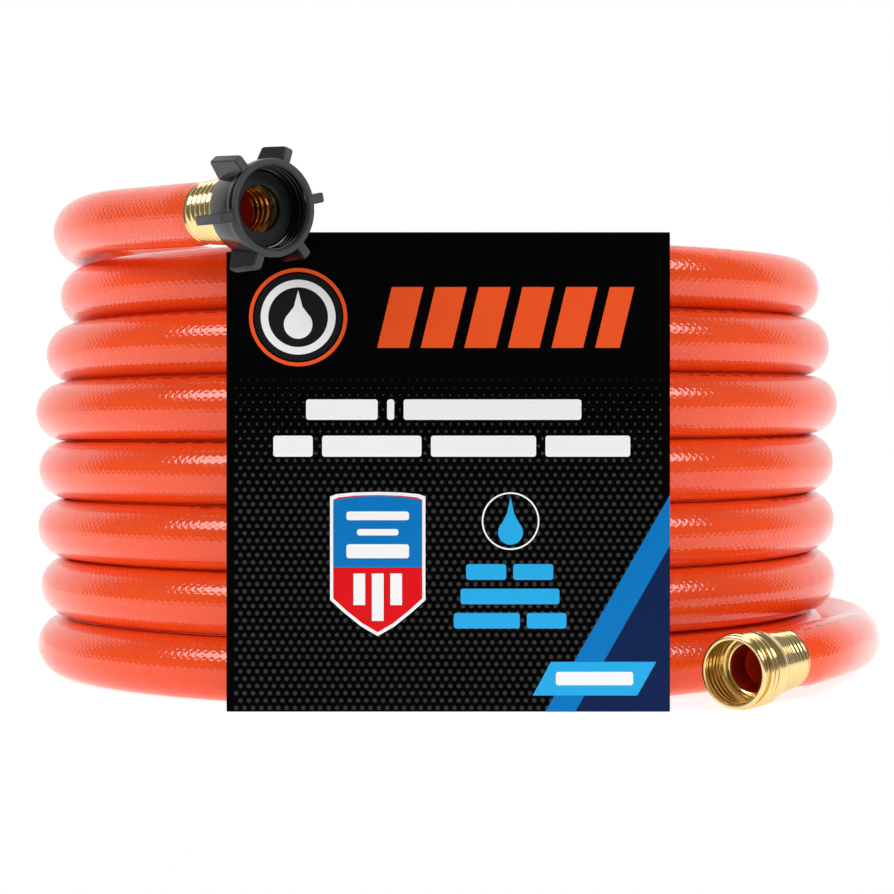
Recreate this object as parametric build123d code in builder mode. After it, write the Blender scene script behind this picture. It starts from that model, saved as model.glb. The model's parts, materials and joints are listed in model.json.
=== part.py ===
from build123d import *
import math
import os

# A 25 ft reinforced hose, stacked in one round coil and held by a printed card sleeve.
# One end has a brass crimped coupling with a plastic swivel nut, the other a brass male end.
# Millimetres, +Z up. The origin is on the floor, under the middle of the whole object.

# Hose
hose_radius = 11.1
bore_radius = 7.95
pitch = 23.25                    # rise of one turn, and a turn's height in the stack
turn_half_width = 11.0
# centre radius of each stacked turn, bottom one first
turn_radii = [147.4, 151.4, 151.8, 151.4, 152.7, 149.0, 144.6]
core_radius = 148.5              # the ring that joins the touching turns into one solid
core_width = 10.0
core_inset = 6.0
tail_gap = 22.8                  # height of the space where the bottom turn leaves the stack
head_rest_left = 161.6           # height of the bed under the head, at each side of the coil
head_rest_right = 142.7
head_side = 146.0                # how far out the head lies at those two sides
coil_x = -13.5
coil_y = 5.2

# Route of the free stretches, from the coil's axis. The head climbs over the back of the
# coil to the swivel coupling. The tail runs round the coil on the floor and rises a little
# to the male end, which stands on its rim.
head_points = [
    (-65.0, -179.1, 170.1),
    (-140.0, -84.4, 174.3),
    (-head_side, 60.5, 173.9),
    (-60.5, head_side, 168.2),
    (60.5, head_side, 161.9),
    (head_side, 60.5, 156.4),
    (head_side, 0.0, 154.7),
]
tail_points = [
    (-152.7, 0.0, 11.2),
    (-152.7, 58.0, 11.2),
    (-123.0, 118.0, 11.2),
    (-74.0, 163.0, 11.2),
    (-12.0, 184.0, 11.2),
    (50.0, 185.0, 11.2),
    (106.0, 170.0, 11.2),
    (148.0, 143.0, 11.2),
    (174.5, 106.0, 11.2),
    (181.0, 64.0, 11.2),
    (176.0, 20.0, 11.4),
    (168.5, -25.0, 12.8),
    (157.2, -71.0, 15.2),
    (141.3, -113.8, 16.7),
    (113.0, -150.0, 14.4),
]

# Fittings, each measured back from its own open face
stem_radius = 7.9
stem_bore = 6.9
neck_radius = 8.8
ferrule_outer = 11.9
ferrule_inner = 11.15
hose_setback = 19.0              # from the open face to the hose's cut end
ferrule_end = 40.5
male_ferrule_end = 36.0
stem_end = 25.0
male_stem_end = 21.5
thread_major = 13.45             # 1 1/16 in garden hose thread
thread_bore = 13.65
nut_length = 18.5
nut_ring = 16.3
nut_barrel = 15.2
seat_radius = 13.0
thread_end = 7.8                 # depth of the nut's thread
seat_end = 13.2
washer_front = 8.1
washer_back = 11.1
lug_front_radius = 21.0          # the lugs stand out further towards the hose
lug_back_radius = 21.8
lug_thickness = 3.3
lug_count = 6
lug_phase = -16.5                # first lug, from straight up

gap = 0.1                        # between parts that touch but aren't joined

# Card sleeve: a band folded round the front of the coil
card = 0.5
sleeve_left = -71.8
sleeve_right = 79.8
sleeve_front_y = -165.0
sleeve_back_y = -105.0
front_height = 164.1
back_height = 168.0
flap_height = 22.0
notch_width = 13.0
notch_depth = 19.0
notch_height = 6.8

os.makedirs("parts", exist_ok=True)


def placed(point):
    """A point given from the coil's axis, in the model's frame."""
    return Vector(point[0] + coil_x, point[1] + coil_y, point[2])


def corner_radii(points):
    """The largest arc at each corner; an end run carries one arc, so it counts twice."""
    runs = [(b - a).length for a, b in zip(points, points[1:])]
    usable = [2 * runs[0]] + runs[1:-1] + [2 * runs[-1]]
    radii = []
    for i in range(1, len(points) - 1):
        turn = (points[i] - points[i - 1]).get_angle(points[i + 1] - points[i])
        reach = 0.45 * min(usable[i - 1], usable[i])
        radii.append(reach / math.tan(math.radians(turn / 2)))
    return radii


def report_tube(name, part, path):
    """Prints a tube's length and how its volume compares with section times length."""
    expected = math.pi * (hose_radius**2 - bore_radius**2) * path.length
    print(name, "length", round(path.length), "volume ratio", round(part.volume / expected, 4))


head_route = [placed(p) for p in head_points]
tail_route = [placed(p) for p in tail_points]
swivel_out = (head_route[0] - head_route[1]).normalized()
male_out = (tail_route[-1] - tail_route[-2]).normalized()
swivel_face = head_route[0] + swivel_out * hose_setback
male_face = tail_route[-1] + male_out * hose_setback
swivel_axis = Axis(swivel_face, swivel_out)
male_axis = Axis(male_face, male_out)


def half_plane(face, out, turn=0):
    """A plane through a fitting's axis: x out of its open face, y away from the axis."""
    level = out.cross(Vector(0, 0, 1)).normalized()
    radial = level.rotate(Axis((0, 0, 0), out), turn - 90)
    return Plane(face, x_dir=out, z_dir=out.cross(radial))


swivel_plane = half_plane(swivel_face, swivel_out)
male_plane = half_plane(male_face, male_out)
print("swivel face", swivel_face, "out", swivel_out)
print("male face", male_face, "out", male_out)

# ---------------------------------------------------------------- hose
coil_section = Plane((coil_x, coil_y, 0), x_dir=(1, 0, 0), z_dir=(0, -1, 0))
coil_axis = Axis((coil_x, coil_y, 0), (0, 0, 1))
coil_top = pitch * len(turn_radii)
head_slope = math.degrees(math.atan2(head_rest_left - head_rest_right, 2 * head_side))
clear = 200.0                    # reach of a cutting block, past everything it has to cut

with BuildPart() as hose_coil:
    with BuildSketch(coil_section):
        for level, radius in enumerate(turn_radii):
            with Locations((radius, pitch * (level + 0.5))):
                Ellipse(turn_half_width, pitch / 2)
        with Locations((core_radius, coil_top / 2)):
            Rectangle(core_width, coil_top - 2 * core_inset)
    revolve(axis=coil_axis)
    # the top turn falls away across the back, where the head lies on it
    bed_middle = (coil_x, coil_y, (head_rest_left + head_rest_right) / 2)
    with Locations(Plane(bed_middle).rotated((0, head_slope, 0))):
        Box(
            2 * clear,
            clear,
            clear,
            align=(Align.CENTER, Align.MIN, Align.MIN),
            mode=Mode.SUBTRACT,
        )
    # the bottom turn leaves the stack at the back left, where the tail starts
    with Locations((coil_x, coil_y, 0)):
        Box(
            clear,
            clear,
            tail_gap,
            align=(Align.MAX, Align.MIN, Align.MIN),
            mode=Mode.SUBTRACT,
        )
    # the front of the stack stands on the sleeve's base
    with Locations((coil_x + (sleeve_left + sleeve_right) / 2, coil_y + sleeve_back_y, 0)):
        Box(
            sleeve_right - sleeve_left + 2 * card,
            sleeve_back_y - sleeve_front_y + 2 * card,
            card + gap,
            align=(Align.CENTER, Align.MAX, Align.MIN),
            mode=Mode.SUBTRACT,
        )

head_radii = corner_radii(head_route)
print("head radii", [round(r) for r in head_radii])
with BuildPart() as hose_head:
    with BuildLine() as head_line:
        FilletPolyline(*head_route, radius=head_radii)
    with BuildSketch(Plane(head_route[0], z_dir=head_route[1] - head_route[0])):
        Circle(hose_radius)
        Circle(bore_radius, mode=Mode.SUBTRACT)
    sweep(path=head_line.wire())

tail_radii = corner_radii(tail_route)
print("tail radii", [round(r) for r in tail_radii])
with BuildPart() as hose_tail:
    with BuildLine() as tail_line:
        FilletPolyline(*tail_route, radius=tail_radii)
    with BuildSketch(Plane(tail_route[0], z_dir=tail_route[1] - tail_route[0])):
        Circle(hose_radius)
        Circle(bore_radius, mode=Mode.SUBTRACT)
    sweep(path=tail_line.wire())

# ---------------------------------------------------------------- swivel coupling
with BuildPart() as swivel_nut:
    with BuildSketch(swivel_plane):
        with BuildLine():
            Polyline(
                (0, 14.3),
                (0, nut_ring - 0.4),
                (-0.5, nut_ring),
                (-4.0, nut_ring),
                (-4.6, nut_barrel),
                (-15.9, nut_barrel),
                (-17.4, 12.4),
                (-nut_length, 12.0),
                (-nut_length, neck_radius + gap),
                (-seat_end, neck_radius + gap),
                (-seat_end, seat_radius),
                (-thread_end - 0.2, seat_radius),
                (-thread_end, thread_bore),
                (-0.7, thread_bore),
                close=True,
            )
        make_face()
    revolve(axis=swivel_axis)
    # six paddle lugs
    for index in range(lug_count):
        turn = lug_phase + index * 360 / lug_count
        with BuildSketch(half_plane(swivel_face, swivel_out, turn)):
            with BuildLine():
                Polyline((-0.5, 14.8), (-0.5, 20.4), (-1.1, lug_front_radius),
                         (-15.2, lug_back_radius), (-17.0, 14.0), (-15.2, 14.6), close=True)
            make_face()
        extrude(amount=lug_thickness / 2, both=True)

with BuildPart() as seal_washer:
    with BuildSketch(swivel_plane):
        with Locations((-(washer_front + washer_back) / 2, (stem_radius + seat_radius - 0.2) / 2)):
            Rectangle(washer_back - washer_front, seat_radius - 0.2 - stem_radius)
    revolve(axis=swivel_axis)

with BuildPart() as female_stem:
    with BuildSketch(swivel_plane):
        with BuildLine():
            Polyline(
                (-washer_back - gap, stem_bore + 0.9),
                (-washer_back - gap, seat_radius - 0.6),
                (-seat_end + gap, seat_radius - 0.6),
                (-seat_end + gap, neck_radius),
                (-hose_setback, neck_radius),
                (-hose_setback, stem_radius),
                (-stem_end + 1, stem_radius),
                (-stem_end, stem_radius - 0.6),
                (-stem_end, stem_bore),
                (-seat_end, stem_bore),
                close=True,
            )
        make_face()
    revolve(axis=swivel_axis)

with BuildPart() as female_ferrule:
    with BuildSketch(swivel_plane):
        with BuildLine():
            Polyline(
                (-18.7, neck_radius + gap / 2),
                (-18.7, 11.0),
                (-19.6, ferrule_outer),
                (-ferrule_end + 1, ferrule_outer),
                (-ferrule_end, ferrule_outer - 0.5),
                (-ferrule_end, ferrule_inner),
                (-hose_setback, ferrule_inner),
                (-hose_setback, neck_radius + gap / 2),
                close=True,
            )
        make_face()
    revolve(axis=swivel_axis)

# ---------------------------------------------------------------- male end
with BuildPart() as male_stem:
    with BuildSketch(male_plane):
        with BuildLine():
            Polyline(
                (0, 10.4),
                (0, 12.6),
                (-0.8, thread_major),
                (-13.6, thread_major),
                (-16.2, 11.9),
                (-17.6, neck_radius),
                (-hose_setback, neck_radius),
                (-hose_setback, stem_radius),
                (-male_stem_end + 1, stem_radius),
                (-male_stem_end, stem_radius - 0.6),
                (-male_stem_end, stem_bore),
                (-14.0, stem_bore),
                (-12.5, 8.7),
                (-12.5, 11.6),
                close=True,
            )
        make_face()
    revolve(axis=male_axis)

with BuildPart() as male_ferrule:
    with BuildSketch(male_plane):
        with BuildLine():
            Polyline(
                (-17.8, neck_radius + gap / 2),
                (-17.8, 11.2),
                (-18.6, ferrule_outer),
                (-male_ferrule_end + 1, ferrule_outer),
                (-male_ferrule_end, ferrule_outer - 0.5),
                (-male_ferrule_end, ferrule_inner),
                (-hose_setback, ferrule_inner),
                (-hose_setback, neck_radius + gap / 2),
                close=True,
            )
        make_face()
    revolve(axis=male_axis)

# ---------------------------------------------------------------- card sleeve
# Sleeve panels are drawn in the upright plane across the coil and run from left to right.
sleeve_side = Plane(
    (coil_x + sleeve_left, coil_y, 0), x_dir=(0, 1, 0), z_dir=(1, 0, 0)
)
sleeve_width = sleeve_right - sleeve_left
front_top = front_height - card
back_panel_height = back_height - card - gap / 2
notch_corner = (coil_x + sleeve_left, coil_y + sleeve_front_y, front_height - notch_height)


def cut_notch():
    """Takes the corner that lets the coupling rest over the card out of a panel."""
    with Locations(notch_corner):
        Box(
            notch_width,
            notch_depth,
            2 * notch_height,
            align=(Align.MIN, Align.MIN, Align.MIN),
            mode=Mode.SUBTRACT,
        )


with BuildPart() as sleeve_front:
    with BuildSketch(sleeve_side):
        with Locations((sleeve_front_y + card / 2, front_top / 2)):
            Rectangle(card, front_top)
    extrude(amount=sleeve_width)
    cut_notch()

with BuildPart() as sleeve_top:
    with BuildSketch(sleeve_side):
        with BuildLine():
            Polyline(
                (sleeve_front_y, front_top),
                (sleeve_front_y, front_height),
                (sleeve_back_y, back_height),
                (sleeve_back_y, back_height - card),
                close=True,
            )
        make_face()
    extrude(amount=sleeve_width)
    cut_notch()

with BuildPart() as sleeve_back:
    with BuildSketch(sleeve_side):
        with Locations((sleeve_back_y - card / 2, back_panel_height / 2)):
            Rectangle(card, back_panel_height)
    extrude(amount=sleeve_width)

with BuildPart() as sleeve_base:
    with BuildSketch(sleeve_side):
        with Locations(((sleeve_front_y + sleeve_back_y) / 2, card / 2)):
            Rectangle(sleeve_back_y - sleeve_front_y - 2 * card, card)
    extrude(amount=sleeve_width)

with BuildPart() as sleeve_glue_flap:
    with BuildSketch(sleeve_side):
        with Locations((sleeve_back_y - 1.5 * card, card + flap_height / 2)):
            Rectangle(card, flap_height)
    extrude(amount=sleeve_width)

report_tube("hose_head", hose_head.part, head_line.wire())
report_tube("hose_tail", hose_tail.part, tail_line.wire())

nodes = {
    "hose_coil": hose_coil,
    "hose_head": hose_head,
    "hose_tail": hose_tail,
    "swivel_nut": swivel_nut,
    "seal_washer": seal_washer,
    "female_stem": female_stem,
    "female_ferrule": female_ferrule,
    "male_stem": male_stem,
    "male_ferrule": male_ferrule,
    "sleeve_front": sleeve_front,
    "sleeve_top": sleeve_top,
    "sleeve_back": sleeve_back,
    "sleeve_base": sleeve_base,
    "sleeve_glue_flap": sleeve_glue_flap,
}
for name, builder in nodes.items():
    builder.part.label = name
    export_step(builder.part, f"parts/{name}.step")
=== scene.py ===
import json
import math
import bpy
import bmesh
from mathutils import Matrix, Vector


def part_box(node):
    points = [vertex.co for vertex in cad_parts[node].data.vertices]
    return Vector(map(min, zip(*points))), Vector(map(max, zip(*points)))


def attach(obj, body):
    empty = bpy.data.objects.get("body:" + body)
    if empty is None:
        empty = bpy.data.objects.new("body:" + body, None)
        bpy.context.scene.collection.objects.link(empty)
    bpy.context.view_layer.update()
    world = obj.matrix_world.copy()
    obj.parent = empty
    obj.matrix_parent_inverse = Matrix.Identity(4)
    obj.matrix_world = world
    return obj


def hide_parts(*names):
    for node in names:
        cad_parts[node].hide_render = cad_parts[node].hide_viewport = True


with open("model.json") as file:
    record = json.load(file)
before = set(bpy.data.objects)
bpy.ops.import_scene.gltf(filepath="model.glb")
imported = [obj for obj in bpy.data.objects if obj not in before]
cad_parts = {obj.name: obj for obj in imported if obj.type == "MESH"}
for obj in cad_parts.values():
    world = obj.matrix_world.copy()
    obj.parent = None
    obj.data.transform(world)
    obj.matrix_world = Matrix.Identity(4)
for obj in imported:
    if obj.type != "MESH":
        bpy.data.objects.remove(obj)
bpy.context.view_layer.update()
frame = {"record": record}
record = frame["record"]
mm = 0.001

# anchors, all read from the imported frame
coilLow, coilHigh = (Vector(p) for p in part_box("hose_coil"))
coilAxis = Vector(((coilLow.x + coilHigh.x) / 2, (coilLow.y + coilHigh.y) / 2, 0))
stackTurns = 7
pitch = (coilHigh.z - coilLow.z) / stackTurns
nutJoint = record["behaviour"]["joints"][0]
nutFace = Vector(nutJoint["pos_m"])
nutOut = Vector(nutJoint["axis"]).normalized()
maleMount = next(m for m in record["mounts"] if m["name"] == "male_thread")
maleMountDepth = 7.2 * mm       # from the male end's open face back to its mount
maleOut = Vector(maleMount["axis"]).normalized()
maleFace = Vector(maleMount["pos_m"]) + maleOut * maleMountDepth
hoseBody = "hose"
nutBody = "coupling_nut"
print("frame loaded, turn pitch", round(pitch / mm, 2), "mm")


# the camera stands level, a little above the middle of the stack
cameraSet = {
    "distance": 0.932,      # from the coil's axis
    "height": 0.092,
    "lens": 90.36,
    "shift": (0.0117, -0.0045),
}


def buildCamera():
    data = bpy.data.cameras.new("studioCamera")
    data.lens = cameraSet["lens"]
    data.sensor_width = 36
    data.shift_x, data.shift_y = cameraSet["shift"]
    data.clip_start = 0.01
    camera = bpy.data.objects.new("studioCamera", data)
    camera.location = coilAxis + Vector((0, -cameraSet["distance"], cameraSet["height"]))
    camera.rotation_euler = (math.radians(90), 0, 0)
    bpy.context.collection.objects.link(camera)
    bpy.context.scene.camera = camera


studioSet = {
    "floorFront": 0.42,     # how far the floor reaches in front of the coil's axis
    "floorSide": 15.0,
    "floorColor": (0.50, 0.50, 0.50, 1),
    "floorGlow": 0.82,
    "bright": 1.0,          # light from behind
    "dim": 0.20,            # light from the front and the sides
    "edge": (0.36, 0.50),   # where one gives way to the other, as a share of straight back
}
# each softbox: where it stands from the coil's axis, its two sides and its power
softboxes = {
    "leftBox": ((-1.16, -0.67, 0.96), (0.90, 0.50), 11.0),
    "rightBox": ((1.16, -0.67, 0.96), (0.90, 0.50), 11.0),
    "topBox": ((0.0, 0.2, 1.9), (1.2, 0.8), 12.0),
}


def buildStudio():
    side, front = studioSet["floorSide"], coilAxis.y - studioSet["floorFront"]
    mesh = bpy.data.meshes.new("studioFloor")
    corners = [(-side, front, 0), (side, front, 0), (side, side, 0), (-side, side, 0)]
    mesh.from_pydata(corners, [], [(0, 1, 2, 3)])
    floor = bpy.data.objects.new("studioFloor", mesh)
    bpy.context.collection.objects.link(floor)
    material = bpy.data.materials.new("studioFloor")
    material.use_nodes = True
    shader = material.node_tree.nodes["Principled BSDF"]
    shader.inputs["Base Color"].default_value = studioSet["floorColor"]
    shader.inputs["Roughness"].default_value = 1.0
    shader.inputs["Specular IOR Level"].default_value = 0.0
    shader.inputs["Emission Color"].default_value = (1, 1, 1, 1)
    shader.inputs["Emission Strength"].default_value = studioSet["floorGlow"]
    mesh.materials.append(material)

    world = bpy.data.worlds.new("studioWorld")
    world.use_nodes = True
    tree = world.node_tree
    background = tree.nodes["Background"]
    background.inputs["Color"].default_value = (1, 1, 1, 1)
    direction = tree.nodes.new("ShaderNodeTexCoord")
    split = tree.nodes.new("ShaderNodeSeparateXYZ")
    tree.links.new(direction.outputs["Generated"], split.inputs[0])
    shade = tree.nodes.new("ShaderNodeMapRange")
    shade.inputs["From Min"].default_value, shade.inputs["From Max"].default_value = studioSet["edge"]
    shade.inputs["To Min"].default_value = studioSet["dim"]
    shade.inputs["To Max"].default_value = studioSet["bright"]
    tree.links.new(split.outputs["Y"], shade.inputs["Value"])
    path = tree.nodes.new("ShaderNodeLightPath")
    seen = tree.nodes.new("ShaderNodeMath")
    seen.operation = "MAXIMUM"
    tree.links.new(path.outputs["Is Camera Ray"], seen.inputs[0])
    tree.links.new(shade.outputs[0], seen.inputs[1])
    tree.links.new(seen.outputs[0], background.inputs["Strength"])
    bpy.context.scene.world = world

    for name, (stand, sides, power) in softboxes.items():
        data = bpy.data.lights.new(name, "AREA")
        data.shape = "RECTANGLE"
        data.size, data.size_y = sides
        data.energy = power
        light = bpy.data.objects.new(name, data)
        light.location = coilAxis + Vector(stand)
        aim = coilAxis + Vector((0, 0, 0.09)) - light.location
        light.rotation_euler = aim.to_track_quat("-Z", "Y").to_euler()
        bpy.context.collection.objects.link(light)
    bpy.context.scene.view_settings.view_transform = "Standard"


buildCamera()
buildStudio()
print("camera and studio ready")


# shader groups that more than one material uses
def newGroup(name, inputs, outputs):
    group = bpy.data.node_groups.new(name, "ShaderNodeTree")
    for label, kind, value in inputs:
        socket = group.interface.new_socket(name=label, in_out="INPUT", socket_type=kind)
        if value is not None:
            socket.default_value = value
    for label, kind in outputs:
        group.interface.new_socket(name=label, in_out="OUTPUT", socket_type=kind)
    return group, group.nodes.new("NodeGroupInput"), group.nodes.new("NodeGroupOutput")


def mathNode(tree, operation, first, second=None, third=None):
    node = tree.nodes.new("ShaderNodeMath")
    node.operation = operation
    for slot, value in enumerate((first, second, third)):
        if value is None:
            continue
        if isinstance(value, (int, float)):
            node.inputs[slot].default_value = value
        else:
            tree.links.new(value, node.inputs[slot])
    return node.outputs[0]


def braidGroup():
    # two families of yarn wound against each other under the hose's skin
    tree, given, result = newGroup(
        "braidRelief",
        [("UV", "NodeSocketVector", None), ("Yarns", "NodeSocketFloat", 26.0),
         ("Lay", "NodeSocketFloat", 0.0030)],
        [("Height", "NodeSocketFloat")])
    split = tree.nodes.new("ShaderNodeSeparateXYZ")
    tree.links.new(given.outputs["UV"], split.inputs[0])
    along = mathNode(tree, "DIVIDE", split.outputs["X"], given.outputs["Lay"])
    around = mathNode(tree, "MULTIPLY", split.outputs["Y"], given.outputs["Yarns"])
    full = 2 * math.pi
    waves = []
    for side in (1, -1):
        phase = mathNode(tree, "MULTIPLY_ADD", along, side, around)
        waves.append(mathNode(tree, "COSINE", mathNode(tree, "MULTIPLY", phase, full)))
    both = mathNode(tree, "SMOOTH_MAX", waves[0], waves[1], 0.6)
    height = mathNode(tree, "MULTIPLY_ADD", both, 0.5, 0.5)
    tree.links.new(height, result.inputs["Height"])
    return tree


def grainGroup():
    # soft unevenness of moulded, extruded or rolled stock, as a height and as a mask
    tree, given, result = newGroup(
        "fineGrain",
        [("Vector", "NodeSocketVector", None), ("Size", "NodeSocketFloat", 900.0),
         ("Detail", "NodeSocketFloat", 3.0)],
        [("Height", "NodeSocketFloat"), ("Patches", "NodeSocketFloat")])
    fine = tree.nodes.new("ShaderNodeTexNoise")
    tree.links.new(given.outputs["Vector"], fine.inputs["Vector"])
    tree.links.new(given.outputs["Size"], fine.inputs["Scale"])
    tree.links.new(given.outputs["Detail"], fine.inputs["Detail"])
    broad = tree.nodes.new("ShaderNodeTexNoise")
    tree.links.new(given.outputs["Vector"], broad.inputs["Vector"])
    tree.links.new(mathNode(tree, "MULTIPLY", given.outputs["Size"], 0.04), broad.inputs["Scale"])
    tree.links.new(fine.outputs["Fac"], result.inputs["Height"])
    tree.links.new(broad.outputs["Fac"], result.inputs["Patches"])
    return tree


wearSet = {"breakUp": 420, "flat": 0.52, "gain": 9.0}


def wearGroup():
    # rubbed edges, where the surface turns sharply
    tree, given, result = newGroup(
        "edgeWear",
        [("Vector", "NodeSocketVector", None), ("Amount", "NodeSocketFloat", 0.5)],
        [("Mask", "NodeSocketFloat")])
    geometry = tree.nodes.new("ShaderNodeNewGeometry")
    breakUp = tree.nodes.new("ShaderNodeTexNoise")
    breakUp.inputs["Scale"].default_value = wearSet["breakUp"]
    tree.links.new(given.outputs["Vector"], breakUp.inputs["Vector"])
    sharp = mathNode(tree, "SUBTRACT", geometry.outputs["Pointiness"], wearSet["flat"])
    raised = mathNode(tree, "MULTIPLY", sharp, wearSet["gain"])
    broken = mathNode(tree, "MULTIPLY", raised, breakUp.outputs["Fac"])
    scaled = mathNode(tree, "MULTIPLY", broken, given.outputs["Amount"])
    node = tree.nodes.new("ShaderNodeClamp")
    tree.links.new(scaled, node.inputs["Value"])
    tree.links.new(node.outputs[0], result.inputs["Mask"])
    return tree


braidRelief = braidGroup()
fineGrain = grainGroup()
edgeWear = wearGroup()


def place(tree, group, **values):
    node = tree.nodes.new("ShaderNodeGroup")
    node.node_tree = group
    for name, value in values.items():
        if isinstance(value, (int, float)):
            node.inputs[name].default_value = value
        else:
            tree.links.new(value, node.inputs[name])
    return node


def newMaterial(name, finish):
    material = bpy.data.materials.new(name)
    material.use_nodes = True
    tree = material.node_tree
    shader = tree.nodes["Principled BSDF"]
    shader.inputs["Base Color"].default_value = (*finish["color"], 1)
    shader.inputs["Roughness"].default_value = finish["roughness"]
    shader.inputs["Metallic"].default_value = finish.get("metallic", 0)
    shader.inputs["Specular IOR Level"].default_value = finish.get("specular", 0.5)
    return material, tree, shader


def objectCoordinates(tree):
    return tree.nodes.new("ShaderNodeTexCoord").outputs["Object"]


def mixColors(tree, factor, first, second, blend="MIX"):
    node = tree.nodes.new("ShaderNodeMix")
    node.data_type = "RGBA"
    node.blend_type = blend
    for socket, value in ((node.inputs[0], factor), (node.inputs[6], first), (node.inputs[7], second)):
        if isinstance(value, (int, float)):
            socket.default_value = value
        elif isinstance(value, tuple):
            socket.default_value = (*value, 1)
        else:
            tree.links.new(value, socket)
    return node.outputs[2]


def bumpFrom(tree, shader, height, distance, normal=None):
    node = tree.nodes.new("ShaderNodeBump")
    node.inputs["Strength"].default_value = 1.0
    node.inputs["Distance"].default_value = distance
    tree.links.new(height, node.inputs["Height"])
    if normal is not None:
        tree.links.new(normal, node.inputs["Normal"])
    tree.links.new(node.outputs["Normal"], shader.inputs["Normal"])
    return node.outputs["Normal"]


def varyRoughness(tree, shader, mask, middle, spread):
    # the spread is how far the roughness swings, and how far under the middle it starts
    rough = mathNode(tree, "MULTIPLY_ADD", mask, spread[0], middle - spread[1])
    tree.links.new(rough, shader.inputs["Roughness"])


hoseFinish = {
    "color": (0.92, 0.087, 0.011),
    "shade": (0.80, 0.054, 0.008),   # a darker tone of the same compound, used for the broad patches' random tone and as painted shade in the grooves between the yarns
    "roughness": 0.10,
    "specular": 0.50,
    "roughSpread": (0.06, 0.03),
    "grainSize": 2200.0,
    "patchTint": (0.4, 0.1),         # the broad patches' share of the shade, and its least share
    # how strongly the colour is darkened in the grooves between the yarns: painted shade
    "braidGrooveShade": 0.12,
    "braidDepth": 0.000062,
    "waveDepth": 0.00020,
    "ink": (0.30, 0.016, 0.006),     # faint dashes printed along the hose
    "inkPlace": 0.312,               # round the hose, where 0.25 is its top and 0.5 its outside
    "inkWidth": 0.011,
    "inkDash": (118.0, 0.62),        # dashes to a metre, and the inked share of each
    "inkRun": (4.3, 0.45),           # printed stretches to a metre, and their share of the hose
    "inkStrength": 0.65,
}


def hoseMaterial():
    material, tree, shader = newMaterial("hosePvc", hoseFinish)
    uv = tree.nodes.new("ShaderNodeUVMap")
    uv.uv_map = "hoseRun"
    braid = place(tree, braidRelief, UV=uv.outputs["UV"])
    grain = place(tree, fineGrain, Vector=objectCoordinates(tree), Size=hoseFinish["grainSize"])
    tint = mathNode(tree, "MULTIPLY_ADD", grain.outputs["Patches"], *hoseFinish["patchTint"])
    color = mixColors(tree, tint, hoseFinish["color"], hoseFinish["shade"])
    # painted shade: the colour turns towards the shade tone in the grooves between the yarns, where the
    # braid's height is low
    between = mathNode(tree, "SUBTRACT", 1.0, braid.outputs["Height"])
    shadow = mathNode(tree, "MULTIPLY", between, hoseFinish["braidGrooveShade"])
    color = mixColors(tree, shadow, color, hoseFinish["shade"])
    split = tree.nodes.new("ShaderNodeSeparateXYZ")
    tree.links.new(uv.outputs["UV"], split.inputs[0])
    aside = mathNode(tree, "ABSOLUTE", mathNode(tree, "SUBTRACT", split.outputs["Y"], hoseFinish["inkPlace"]))
    marks = mathNode(tree, "LESS_THAN", aside, hoseFinish["inkWidth"])
    for count, share in (hoseFinish["inkDash"], hoseFinish["inkRun"]):
        repeat = mathNode(tree, "FRACT", mathNode(tree, "MULTIPLY", split.outputs["X"], count))
        marks = mathNode(tree, "MULTIPLY", marks, mathNode(tree, "LESS_THAN", repeat, share))
    faded = mathNode(tree, "MULTIPLY", marks, hoseFinish["inkStrength"])
    tree.links.new(mixColors(tree, faded, color, hoseFinish["ink"]), shader.inputs["Base Color"])
    varyRoughness(tree, shader, grain.outputs["Height"], hoseFinish["roughness"], hoseFinish["roughSpread"])
    wavy = bumpFrom(tree, shader, grain.outputs["Patches"], hoseFinish["waveDepth"])
    bumpFrom(tree, shader, braid.outputs["Height"], hoseFinish["braidDepth"], normal=wavy)
    return material


brassFinish = {
    "color": (0.84, 0.64, 0.28),
    "worn": (0.95, 0.80, 0.48),
    "dull": (0.52, 0.38, 0.17),
    "roughness": 0.14,
    "roughSpread": (0.16, 0.06),
    "metallic": 1.0,
    "grainSize": 2600.0,
    "grain": 0.000015,
    "wear": 0.8,
    "dullShare": 0.35,
}


def brassMaterial():
    material, tree, shader = newMaterial("brassFitting", brassFinish)
    coordinates = objectCoordinates(tree)
    grain = place(tree, fineGrain, Vector=coordinates, Size=brassFinish["grainSize"])
    wear = place(tree, edgeWear, Vector=coordinates, Amount=brassFinish["wear"])
    dull = mathNode(tree, "MULTIPLY", grain.outputs["Patches"], brassFinish["dullShare"])
    color = mixColors(tree, dull, brassFinish["color"], brassFinish["dull"])
    rubbed = mixColors(tree, wear.outputs["Mask"], color, brassFinish["worn"])
    tree.links.new(rubbed, shader.inputs["Base Color"])
    varyRoughness(tree, shader, grain.outputs["Patches"], brassFinish["roughness"],
                  brassFinish["roughSpread"])
    bumpFrom(tree, shader, grain.outputs["Height"], brassFinish["grain"])
    return material


nutFinish = {"color": (0.0035, 0.0037, 0.0042), "worn": (0.06, 0.063, 0.067), "roughness": 0.13,
             "specular": 0.30, "grain": 0.00001, "wear": 0.06}
nutFaceFinish = {"color": (0.045, 0.049, 0.054), "worn": (0.12, 0.125, 0.13), "roughness": 0.48,
                 "specular": 0.4, "grain": 0.00005, "wear": 0.3}
washerFinish = {"color": (0.010, 0.010, 0.013), "worn": (0.05, 0.05, 0.05), "roughness": 0.50,
                "specular": 0.3, "grain": 0.00004, "wear": 0.1}
# what every moulded part shares
mouldSet = {"grainSize": 2200.0, "roughSpread": (0.14, 0.07)}


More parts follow.
